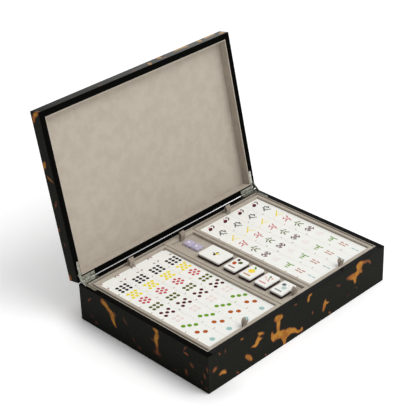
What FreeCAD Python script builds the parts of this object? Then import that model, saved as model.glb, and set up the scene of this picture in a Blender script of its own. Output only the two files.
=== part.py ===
import FreeCAD, Part
import math
import os

# A hinged game case for mahjong: a lacquered base and lid on two corner hinges with stay links,
# three lift-out trays in the top layer and three more beneath them, tiles, display tiles and dice.
# Millimetres. X runs along the hinge line, Y from front to back, Z up.
# The origin is the centre of the underside. The lid is modelled open, resting on its stays.

# ---- case ----
case_width = 422.0
case_depth = 294.4
base_height = 68.3
lid_height = 22.2
wall = 10.6
corner_radius = 1.2                # upright outer corners
edge_chamfer = 0.4                 # outer edges along rims, underside and lid top
rim_gap = 0.2                      # air left between the two rims when the lid is down
felt_thickness = 1.5
felt_inset = 1.0                   # the felt stops short of the walls all round
bottom_thickness = 8.9
lining_thickness = 1.5
liner_board = 1.4                  # suede-covered boards that line the walls
lid_panel_thickness = 4.3

# ---- hinge and stay ----
lid_open_angle = 101.7
axis_behind_back = 0.5             # hinge axis stands this far behind the back face
leaf_thickness = 1.6
leaf_below_rim = 0.05
knuckle_radius = 1.9
pin_radius = 0.9
running_gap = 0.05
knuckle_relief = 0.4               # room cut in the walls round the knuckles
arm_reach = 36.5                   # side arm's end, measured from the axis
arm_inner_x = 201.2
arm_outer_x = 206.0
flange_inner_x = 174.0
flange_front_y = 139.2
leaf_back_y = 145.3
base_knuckles = ((174.0, 184.4), (195.4, 205.8))
lid_knuckles = ((184.7, 195.1),)
stay_inner_x = 206.6
stay_thickness = 1.6
stay_half_height = 1.5
stay_pivot_reach = 13.0            # lid pivot and, with the lid open, slider: both this far from the axis
stay_pivot_height = 1.05           # pivot above the rim plane in the lid, slider below it in the base
rivet_radius = 0.75
rivet_head_radius = 1.3
rivet_head_height = 0.3
groove_inner_x = 206.1
groove_outer_x = 208.7
groove_start = 9.0
groove_end = 36.6
groove_depth = 3.0

# ---- trays ----
tray_height = 28.0
tray_wall = 6.3
tray_floor = 4.2
tray_edge_radius = 1.2
side_tray_width = 161.8
centre_tray_width = 66.8
side_tray_left_x = (-194.8, 35.5)  # left edges of the left and the right tray
centre_tray_left_x = -32.2
tray_front_y = -135.1
side_tray_depth = 266.3
centre_tray_depth = 269.0
centre_back_wall = 9.0

# ---- tiles ----
tile_length = 36.6                 # along X
tile_width = 25.0                  # along Y
tile_thickness = 20.4
tile_gap = 0.3
tile_chamfer = 0.8
tile_columns = 4
tile_rows = 10
block_off_left = 1.6               # air between a tile block and its tray's left wall
block_off_front = 0.7              # air between a tile block and its tray's front wall

# ---- centre insert with its pockets ----
insert_gap = 0.2
insert_below_rim = 5.3
pocket_gap = 0.3
display_centre_x = 0.9
display_above_rim = 2.0
display_back_y = (8.5, -25.9, -60.3, -94.7)
large_tile_width = 48.3
large_tile_back_y = 67.6
die_side = 18.0
die_corner_radius = 2.6
die_chamfer = 1.2
die_above_insert = 4.4
die_back_y = (115.6, 97.4)

# ---- pull tabs ----
tab_width = 10.5
tab_thickness = 2.8
tab_slit = 0.8
tab_root = 4.0                     # length sewn into the wall
front_tab_height = 11.5
back_tab_height = 14.0
folded_tab_length = 16.0
folded_tab_thickness = 2.6
folded_tab_rise = 0.3              # folded tabs lie just over the tiles

half_width = case_width / 2
half_depth = case_depth / 2
axis_y = half_depth + axis_behind_back
lid_rim_z = base_height + rim_gap
lid_top_z = base_height + lid_height
cavity_x = half_width - wall
cavity_y = half_depth - wall
lower_tray_z = felt_thickness + bottom_thickness + lining_thickness
upper_tray_z = lower_tray_z + tray_height
stay_outer_x = stay_inner_x + stay_thickness

vector = FreeCAD.Vector
along_x = vector(1, 0, 0)

os.makedirs("parts", exist_ok=True)


def save(name, shapes):
    """Writes one node; several solids make a group of separate pieces."""
    shape = shapes if isinstance(shapes, Part.Shape) else Part.makeCompound(shapes)
    shape.exportStep("parts/" + name + ".step")


def block(x0, x1, y0, y1, z0, z1):
    return Part.makeBox(x1 - x0, y1 - y0, z1 - z0, vector(x0, y0, z0))


def centred_block(x_half, y_half, z0, z1):
    return block(-x_half, x_half, -y_half, y_half, z0, z1)


def rod_x(radius, x0, x1, y, z):
    return Part.makeCylinder(radius, x1 - x0, vector(x0, y, z), along_x)


def prism(points, z0, z1):
    """Upright prism over a plan outline given as (x, y) points."""
    corners = [vector(x, y, z0) for x, y in points]
    outline = Part.makePolygon(corners + corners[:1])
    return Part.Face(outline).extrude(vector(0, 0, z1 - z0))


def level_edges(body, above):
    return [edge for edge in body.Edges if edge.BoundBox.ZMin > above and edge.BoundBox.ZLength < 1.0]


def round_upright_edges(body, radius):
    return body.makeFillet(radius, [edge for edge in body.Edges if edge.BoundBox.ZLength > radius])


def mirrored(shape):
    return shape.mirror(vector(0, 0, 0), along_x)


def both_sides(shape):
    return [mirrored(shape), shape]


def opened(shape):
    """Turns a piece of the closed lid back to where it rests open."""
    turned = shape.copy()
    turned.rotate(vector(0, axis_y, base_height), vector(-1, 0, 0), lid_open_angle)
    return turned


def from_axis(reach, height):
    """Y and Z of a point at a reach in front of the hinge axis and a height above it."""
    return axis_y - reach, base_height + height


def turned_with_lid(reach, height, angle):
    """Where a point of the closed lid stands after the lid has turned by the angle."""
    turn = math.radians(angle)
    return (reach * math.cos(turn) - height * math.sin(turn),
            reach * math.sin(turn) + height * math.cos(turn))


# ---- case shell: a softened box cut into mitred walls ----

def mitre_plans():
    """Plan of each wall, cut at 45 degrees through the corners."""
    out, into = 5.0, 2 * wall
    x_out, y_out = half_width + out, half_depth + out
    x_in, y_in = half_width - into, half_depth - into
    return {
        "front": [(-x_out, -y_out), (x_out, -y_out), (x_in, -y_in), (-x_in, -y_in)],
        "back": [(x_out, y_out), (-x_out, y_out), (-x_in, y_in), (x_in, y_in)],
        "left": [(-x_out, y_out), (-x_out, -y_out), (-x_in, -y_in), (-x_in, y_in)],
        "right": [(x_out, -y_out), (x_out, y_out), (x_in, y_in), (x_in, -y_in)],
    }


def outer_block(z0, z1):
    body = round_upright_edges(centred_block(half_width, half_depth, z0, z1), corner_radius)
    return body.makeChamfer(edge_chamfer, level_edges(body, z0 - edge_chamfer))


def cut_mitres(shell, z0, z1):
    return {side: shell.common(prism(plan, z0, z1)) for side, plan in mitre_plans().items()}


def liner_boards(z0, z1):
    """Four boards inside the walls: long ones front and back, short ones between them."""
    x_in, y_in = cavity_x - liner_board, cavity_y - liner_board
    return [
        block(-cavity_x, cavity_x, -cavity_y, -y_in, z0, z1),
        block(-cavity_x, cavity_x, y_in, cavity_y, z0, z1),
        block(-cavity_x, -x_in, -y_in, y_in, z0, z1),
        block(x_in, cavity_x, -y_in, y_in, z0, z1),
    ]


# ---- corner hinge: L-shaped leaves, pin and stay link (right side, lid closed) ----

def leaf_plate(z0, z1):
    """The L of a leaf: side arm with a round end, and flange along the back rim."""
    round_y = axis_y - arm_reach + (arm_outer_x - arm_inner_x) / 2
    arm = block(arm_inner_x, arm_outer_x, round_y, leaf_back_y, z0, z1)
    arm_end = Part.makeCylinder((arm_outer_x - arm_inner_x) / 2, z1 - z0,
                                vector((arm_inner_x + arm_outer_x) / 2, round_y, z0))
    flange = block(flange_inner_x, arm_outer_x, flange_front_y, leaf_back_y, z0, z1)
    return arm.fuse([arm_end, flange]).removeSplitter()


def knuckle_plates(z0, z1, knuckles):
    """Where the leaf runs on over the back edge to each of its knuckles."""
    return [block(x0, x1, leaf_back_y, axis_y, z0, z1) for x0, x1 in knuckles]


def leaf(z0, z1, knuckles):
    """A leaf with its share of the knuckles rolled round the pin."""
    barrels = [rod_x(knuckle_radius, x0, x1, axis_y, base_height) for x0, x1 in knuckles]
    bore = rod_x(pin_radius + running_gap, flange_inner_x, arm_outer_x, axis_y, base_height)
    whole = leaf_plate(z0, z1).fuse(knuckle_plates(z0, z1, knuckles) + barrels)
    return whole.cut(bore).removeSplitter()


def stay_groove(z0, z1):
    """Slot in a side wall's rim that takes the stay link when the lid is down."""
    return block(groove_inner_x, groove_outer_x, axis_y - groove_end, axis_y - groove_start, z0, z1)


def knuckle_room():
    return rod_x(knuckle_radius + knuckle_relief, flange_inner_x - knuckle_relief,
                 arm_outer_x + knuckle_relief, axis_y, base_height)


def stay_ends():
    """Lid pivot and slider of the open stay, as reach and height from the axis."""
    pivot = turned_with_lid(stay_pivot_reach, stay_pivot_height, lid_open_angle)
    return pivot, (stay_pivot_reach, -stay_pivot_height)


def stay_link():
    """Flat bar on edge with round ends, bored for the pivot rivet and the slider rivet."""
    (y0, z0), (y1, z1) = [from_axis(*end) for end in stay_ends()]
    length = math.hypot(y1 - y0, z1 - z0)
    across = vector(0, -(z1 - z0) / length, (y1 - y0) / length) * stay_half_height
    along = vector(0, (y1 - y0) / length, (z1 - z0) / length) * stay_half_height
    start, end = vector(stay_inner_x, y0, z0), vector(stay_inner_x, y1, z1)
    outline = Part.Wire([
        Part.LineSegment(start + across, end + across).toShape(),
        Part.Arc(end + across, end + along, end - across).toShape(),
        Part.LineSegment(end - across, start - across).toShape(),
        Part.Arc(start - across, start - along, start + across).toShape(),
    ])
    bar = Part.Face(outline).extrude(vector(stay_thickness, 0, 0))
    bore = rivet_radius + running_gap
    return bar.cut([rod_x(bore, stay_inner_x, stay_outer_x, y, z) for y, z in ((y0, z0), (y1, z1))])


def headed_rivet(x0, y, z):
    """Shank through the stay's eye, with a flat head just outside it."""
    head_x = stay_outer_x + running_gap
    head = rod_x(rivet_head_radius, head_x, head_x + rivet_head_height, y, z)
    return rod_x(rivet_radius, x0, head_x, y, z).fuse(head).removeSplitter()


def pivot_rivet():
    """Held in the lid leaf's arm; the stay turns on it. Modelled with the lid closed."""
    y, z = from_axis(stay_pivot_reach, stay_pivot_height)
    return headed_rivet((arm_inner_x + arm_outer_x) / 2, y, z)


def slider_rivet():
    """Rides in the base's groove at the stay's free end."""
    y, z = from_axis(*stay_ends()[1])
    return headed_rivet(stay_inner_x - running_gap, y, z)


# ---- trays ----

def tray_frame(x0, width, depth, z0, back_wall):
    """Four walls in one ring, with the top edges rounded as the suede turns over them."""
    x1, y0, y1, z1 = x0 + width, tray_front_y, tray_front_y + depth, z0 + tray_height
    ring = block(x0, x1, y0, y1, z0, z1).cut(
        block(x0 + tray_wall, x1 - tray_wall, y0 + tray_wall, y1 - back_wall, z0, z1))
    top_edges = [edge for edge in ring.Edges if edge.BoundBox.ZMin > z1 - tray_edge_radius]
    return ring.makeFillet(tray_edge_radius, top_edges)


def tray_board(x0, width, depth, z0, back_wall):
    """Floor board, let in between the walls."""
    return block(x0 + tray_wall, x0 + width - tray_wall, tray_front_y + tray_wall,
                 tray_front_y + depth - back_wall, z0, z0 + tray_floor)


def pull_tab(x, y0, z0, z1):
    """Standing loop of doubled suede with a slit between its two layers."""
    radius = tab_thickness / 2
    x0, x1 = x - tab_width / 2, x + tab_width / 2
    loop = block(x0, x1, y0, y0 + tab_thickness, z0, z1 - radius)
    loop = loop.fuse(rod_x(radius, x0, x1, y0 + radius, z1 - radius)).removeSplitter()
    slit_y = y0 + radius - tab_slit / 2
    return loop.cut(block(x0, x1, slit_y, slit_y + tab_slit, z0 + tab_root, z1 - radius))


def folded_tabs(x, y_front, y_back, z0):
    """Tabs of a lower tray, laid flat over its contents under the tray above."""
    x0, x1 = x - tab_width / 2, x + tab_width / 2
    z1 = z0 + folded_tab_thickness
    return [block(x0, x1, y_front, y_front + folded_tab_length, z0, z1),
            block(x0, x1, y_back - folded_tab_length, y_back, z0, z1)]


# ---- tiles and dice ----

def plain_tile(x0, y0, z0, width=tile_width):
    return block(x0, x0 + tile_length, y0, y0 + width, z0, z0 + tile_thickness)


def tile(x0, y0, z0, width=tile_width):
    """Lies face up, with the edges of its face chamfered."""
    body = plain_tile(x0, y0, z0, width)
    return body.makeChamfer(tile_chamfer, level_edges(body, z0 + tile_chamfer))


def tile_block(first):
    """Columns and rows of tiles like the first, close together."""
    tiles = []
    for column in range(tile_columns):
        for row in range(tile_rows):
            step = vector(column * (tile_length + tile_gap), row * (tile_width + tile_gap), 0)
            tiles.append(first.translated(step))
    return tiles


def display_tile(back_y, width):
    bottom = base_height + display_above_rim - tile_thickness
    return tile(display_centre_x - tile_length / 2, back_y - width, bottom, width)


def die(back_y, insert_top):
    x0 = display_centre_x - die_side / 2
    z1 = insert_top + die_above_insert
    body = block(x0, x0 + die_side, back_y - die_side, back_y, z1 - die_side, z1)
    body = round_upright_edges(body, die_corner_radius)
    return body.makeChamfer(die_chamfer, level_edges(body, insert_top))


def pocket_for(piece, top):
    """Straight-sided pocket round a piece, open at the top."""
    room = piece.BoundBox
    return block(room.XMin - pocket_gap, room.XMax + pocket_gap, room.YMin - pocket_gap,
                 room.YMax + pocket_gap, room.ZMin, top)


def build_hinges():
    """Writes the hinge nodes and returns what has to be cut out of the base and of the closed lid."""
    base_face, lid_face = -leaf_below_rim, rim_gap + leaf_below_rim
    base_z = (base_height + base_face - leaf_thickness, base_height + base_face)
    lid_z = (base_height + lid_face, base_height + lid_face + leaf_thickness)
    rivet = pivot_rivet()
    base_leaf = leaf(*base_z, base_knuckles)
    lid_leaf = leaf(*lid_z, lid_knuckles).cut(rivet)
    pin = rod_x(pin_radius, flange_inner_x, base_knuckles[-1][1], axis_y, base_height)
    link, slider = stay_link(), slider_rivet()
    for side, place in (("left", mirrored), ("right", Part.Shape.copy)):
        save(side + "_hinge_base_leaf", place(base_leaf))
        save(side + "_hinge_lid_leaf", opened(place(lid_leaf)))
        save(side + "_hinge_pin", place(pin))
        save(side + "_stay_link", place(link))
        save(side + "_stay_slider", place(slider))
    save("stay_pivot_rivets", [opened(piece) for piece in both_sides(rivet)])

    base_room = [leaf_plate(base_z[0], base_height), stay_groove(base_height - groove_depth, base_height)]
    base_room += knuckle_plates(base_z[0], base_height, base_knuckles)
    lid_room = [leaf_plate(lid_rim_z, lid_z[1]), stay_groove(lid_rim_z, base_height + groove_depth)]
    lid_room += knuckle_plates(lid_rim_z, lid_z[1], lid_knuckles)
    base_cuts, lid_cuts = [], []
    for piece in base_room + [knuckle_room()]:
        base_cuts += both_sides(piece)
    for piece in lid_room + [knuckle_room(), rivet]:
        lid_cuts += both_sides(piece)
    return base_cuts, lid_cuts


def build_base(hinge_cuts):
    ring = outer_block(0, base_height).cut(centred_block(cavity_x, cavity_y, 0, base_height))
    for side, piece in cut_mitres(ring.cut(hinge_cuts), 0, base_height).items():
        save("base_" + side + "_wall", piece)
    panel_z = felt_thickness + bottom_thickness
    save("base_bottom_panel", centred_block(cavity_x, cavity_y, felt_thickness, panel_z))
    save("base_underside_felt", centred_block(cavity_x - felt_inset, cavity_y - felt_inset, 0, felt_thickness))
    save("base_floor_lining", centred_block(cavity_x, cavity_y, panel_z, lower_tray_z))
    save("base_liner_boards", liner_boards(lower_tray_z, base_height))


def build_lid(hinge_cuts):
    """The top panel meets the walls on mitres too, so the joint lies along the outer edge."""
    panel_z = lid_top_z - lid_panel_thickness
    corners = []
    for x, y, z in ((half_width, half_depth, lid_top_z), (cavity_x, cavity_y, panel_z)):
        points = [vector(-x, -y, z), vector(x, -y, z), vector(x, y, z), vector(-x, y, z)]
        corners.append(Part.makePolygon(points + points[:1]))
    panel_room = Part.makeLoft(corners, True, True)
    shell = outer_block(lid_rim_z, lid_top_z).cut(centred_block(cavity_x, cavity_y, lid_rim_z, panel_z))
    save("lid_top_panel", opened(shell.common(panel_room)))
    ring = shell.cut(panel_room).cut(hinge_cuts)
    for side, piece in cut_mitres(ring, lid_rim_z, lid_top_z).items():
        save("lid_" + side + "_wall", opened(piece))
    lining_z = panel_z - lining_thickness
    save("lid_lining_panel", opened(centred_block(cavity_x, cavity_y, lining_z, panel_z)))
    save("lid_liner_boards", [opened(board) for board in liner_boards(lid_rim_z, lining_z)])


def build_side_trays():
    """The tiles of the lower layer, hidden under the trays above, are plain blocks."""
    depth, y_front = side_tray_depth, tray_front_y + tray_wall
    y_back = tray_front_y + depth - tray_wall
    for side, x0 in zip(("left", "right"), side_tray_left_x):
        centre_x = x0 + side_tray_width / 2
        first_corner = (x0 + tray_wall + block_off_left, y_front + block_off_front)
        for layer, z0 in (("lower", lower_tray_z), ("upper", upper_tray_z)):
            name = layer + "_" + side + "_tray"
            frame = tray_frame(x0, side_tray_width, depth, z0, tray_wall)
            tile_z = z0 + tray_floor
            if layer == "upper":
                top = z0 + tray_height
                tabs = [pull_tab(centre_x, y_front - tab_thickness, top - tab_root, top + front_tab_height),
                        pull_tab(centre_x, y_back, top - tab_root, top + back_tab_height)]
                frame = frame.cut(tabs)
                first_tile = tile(*first_corner, tile_z)
            else:
                tabs = folded_tabs(centre_x, y_front, y_back, tile_z + tile_thickness + folded_tab_rise)
                first_tile = plain_tile(*first_corner, tile_z)
            save(name + "_frame", frame)
            save(name + "_floor", tray_board(x0, side_tray_width, depth, z0, tray_wall))
            save(name + "_pull_tabs", tabs)
            save(layer + "_" + side + "_tiles", tile_block(first_tile))


def build_centre_trays():
    x0, width, depth = centre_tray_left_x, centre_tray_width, centre_tray_depth
    centre_x = x0 + width / 2
    y_front, y_back = tray_front_y + tray_wall, tray_front_y + depth - centre_back_wall
    for layer, z0 in (("lower", lower_tray_z), ("upper", upper_tray_z)):
        save(layer + "_centre_tray_floor", tray_board(x0, width, depth, z0, centre_back_wall))
    lower_frame = tray_frame(x0, width, depth, lower_tray_z, centre_back_wall)
    save("lower_centre_tray_frame", lower_frame)
    folded_z = lower_tray_z + tray_floor + tile_thickness + folded_tab_rise
    save("lower_centre_tray_pull_tabs", folded_tabs(centre_x, y_front, y_back, folded_z))

    insert_top = base_height - insert_below_rim
    top = upper_tray_z + tray_height
    tabs = [pull_tab(centre_x, y_front - tab_thickness, top - tab_root, top + front_tab_height),
            pull_tab(centre_x, y_back - tab_thickness, insert_top, top + back_tab_height)]
    save("upper_centre_tray_frame", tray_frame(x0, width, depth, upper_tray_z, centre_back_wall).cut(tabs))
    save("upper_centre_tray_pull_tabs", tabs)

    large_tile = display_tile(large_tile_back_y, large_tile_width)
    small_tiles = [display_tile(y, tile_width) for y in display_back_y]
    dice = [die(y, insert_top) for y in die_back_y]
    dice_box = block(dice[0].BoundBox.XMin, dice[0].BoundBox.XMax, dice[1].BoundBox.YMin,
                     dice[0].BoundBox.YMax, dice[0].BoundBox.ZMin, dice[0].BoundBox.ZMax)
    insert = block(x0 + tray_wall + insert_gap, x0 + width - tray_wall - insert_gap,
                   y_front + insert_gap, y_back - insert_gap, upper_tray_z + tray_floor, insert_top)
    pockets = [pocket_for(piece, insert_top) for piece in [large_tile, dice_box] + small_tiles]
    save("centre_tray_insert", insert.cut(pockets))
    save("large_display_tile", large_tile)
    for number, piece in enumerate(small_tiles, start=1):
        save("display_tile_" + str(number), piece)
    save("die_back", dice[0])
    save("die_front", dice[1])


base_cuts, lid_cuts = build_hinges()
build_base(base_cuts)
build_lid(lid_cuts)
build_side_trays()
build_centre_trays()

(pivot_reach, pivot_rise), (slider_reach, slider_rise) = stay_ends()
stay_length = math.hypot(pivot_reach - slider_reach, pivot_rise - slider_rise)
closed_tilt = math.degrees(math.asin(2 * stay_pivot_height / stay_length))
open_tilt = math.degrees(math.asin((pivot_rise - slider_rise) / stay_length))
print("stay length", round(stay_length, 3), "turn in the lid", round(lid_open_angle + open_tilt - closed_tilt, 3))
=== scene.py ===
import math

import bpy
import numpy as np
from mathutils import Matrix, Vector


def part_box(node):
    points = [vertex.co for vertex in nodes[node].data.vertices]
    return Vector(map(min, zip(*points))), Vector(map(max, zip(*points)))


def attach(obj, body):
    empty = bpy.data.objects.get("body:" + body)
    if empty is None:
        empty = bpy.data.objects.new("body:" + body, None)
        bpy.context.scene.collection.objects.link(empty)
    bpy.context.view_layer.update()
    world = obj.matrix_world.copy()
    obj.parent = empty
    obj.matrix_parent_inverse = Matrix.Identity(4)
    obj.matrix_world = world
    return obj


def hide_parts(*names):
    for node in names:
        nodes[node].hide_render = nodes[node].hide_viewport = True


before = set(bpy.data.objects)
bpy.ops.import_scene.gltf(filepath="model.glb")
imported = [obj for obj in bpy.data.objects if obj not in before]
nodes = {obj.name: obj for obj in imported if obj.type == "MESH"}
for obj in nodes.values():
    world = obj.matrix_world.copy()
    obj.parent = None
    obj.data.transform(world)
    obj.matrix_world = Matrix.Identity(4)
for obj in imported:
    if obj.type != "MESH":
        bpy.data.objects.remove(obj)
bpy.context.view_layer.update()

# lengths are in metres; mm turns a workshop size into metres
mm = 0.001

# the shut case in millimetres, to the micron, from two of the base's walls, and its height with the lid
leftLow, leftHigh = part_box("base_left_wall")
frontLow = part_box("base_front_wall")[0]
case = {"halfWidth": round(-leftLow.x / mm, 3), "halfDepth": round(-frontLow.y / mm, 3),
        "rim": round(leftHigh.z / mm, 3), "height": 90.5}

# angles in degrees, distance and target in metres, lens and sensor in millimetres
view = {
    "azimuth": -44.41,
    "elevation": 30.25,
    "roll": -1.9,
    "distance": 2.0672,
    "target": (-0.0568, -0.0009, 0.2014),
    "lens": 113.9,
    "sensor": 36.0,
}


def addCamera(view):
    azimuth, elevation, roll = (math.radians(view[key]) for key in ("azimuth", "elevation", "roll"))
    level = Vector((math.cos(azimuth), math.sin(azimuth), 0))
    outward = Vector((math.sin(azimuth), -math.cos(azimuth), 0))
    back = outward * math.cos(elevation) + Vector((0, 0, math.sin(elevation)))
    lift = back.cross(level)
    right = math.cos(roll) * level + math.sin(roll) * lift
    up = math.cos(roll) * lift - math.sin(roll) * level
    place = Matrix((right, up, back)).transposed().to_4x4()
    place.translation = Vector(view["target"]) + back * view["distance"]
    camera = bpy.data.objects.new("camera", bpy.data.cameras.new("camera"))
    camera.data.lens = view["lens"]
    camera.data.sensor_width = view["sensor"]
    camera.matrix_world = place
    bpy.context.scene.collection.objects.link(camera)
    bpy.context.scene.camera = camera


addCamera(view)


# one socket of a node tree; operators on it add Math nodes, and node() adds any other node:
# its type, its settings (set first), then the values or links of its sockets by name or number
class Socket:
    def __init__(self, tree, socket=None):
        self.tree = tree
        self.socket = socket

    def node(self, kind, settings=None, sockets=None, out=0):
        made = self.tree.nodes.new("ShaderNode" + kind)
        for key, value in (settings or {}).items():
            setattr(made, key, value)
        for key, value in (sockets or {}).items():
            if isinstance(value, Socket):
                self.tree.links.new(value.socket, made.inputs[key])
            else:
                made.inputs[key].default_value = value
        return Socket(self.tree, made.outputs[out])

    def math(self, operation, first, second=0.0):
        return self.node("Math", {"operation": operation}, {0: first, 1: second})

    def __add__(self, other):
        return self.math("ADD", self, other)

    __radd__ = __add__

    def __sub__(self, other):
        return self.math("SUBTRACT", self, other)

    def __rsub__(self, other):
        return self.math("SUBTRACT", other, self)

    def __mul__(self, other):
        return self.math("MULTIPLY", self, other)

    __rmul__ = __mul__

    def __abs__(self):
        return self.math("ABSOLUTE", self)

    def highest(self, other):
        return self.math("MAXIMUM", self, other)

    # eased step: 0 below low, 1 above high; with low above high it falls
    def ramp(self, low, high):
        return self.node("MapRange", {"interpolation_type": "SMOOTHSTEP"},
                         {"Value": self, "From Min": low, "From Max": high})

    def vector(self, operation, other):
        return self.node("VectorMath", {"operation": operation}, {0: self, 1: other})

    def length(self):
        return self.node("VectorMath", {"operation": "LENGTH"}, {0: self}, "Value")

    def parts(self):
        made = self.node("SeparateXYZ", sockets={0: self})
        return [Socket(self.tree, output) for output in made.socket.node.outputs]

    # blends two colours (or sockets) by a factor
    def mix(self, factor, first, second):
        first, second = (value if isinstance(value, Socket) else (*value, 1) for value in (first, second))
        settings = {"data_type": "RGBA", "clamp_factor": True}
        return self.node("Mix", settings, {0: factor, 6: first, 7: second}, 2)

    def noise(self, scale, detail=2.0, roughness=0.5, out=0):
        sockets = {"Vector": self, "Scale": scale, "Detail": detail, "Roughness": roughness}
        return self.node("TexNoise", sockets=sockets, out=out)

    def bump(self, height, distance, strength=1.0):
        return self.node("Bump", sockets={"Height": height, "Distance": distance, "Strength": strength})


# a material with its fixed socket values; paint(start) returns the sockets that vary, by name
def newMaterial(name, fixed, paint):
    material = bpy.data.materials.new(name)
    material.use_nodes = True
    tree = material.node_tree
    skin = tree.nodes["Principled BSDF"]
    for key, value in fixed.items():
        skin.inputs[key].default_value = value
    for key, value in paint(Socket(tree)).items():
        tree.links.new(value.socket, skin.inputs[key])
    return material


def objectPlace(start):
    return start.node("TexCoord", out="Object")


# screen colour 0-255 as the linear light that a shader takes
def rgb(*values):
    share = np.array(values) / 255
    light = np.where(share <= 0.04045, share / 12.92, ((share + 0.055) / 1.055) ** 2.4)
    return tuple(float(value) for value in light)


# how far the lid stands open, and its hinge axis half a millimetre behind the case at the rim's height
lidTurn = {"angle": 101.7, "axisY": (case["halfDepth"] + 0.5) * mm, "axisZ": case["rim"] * mm}

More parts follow.
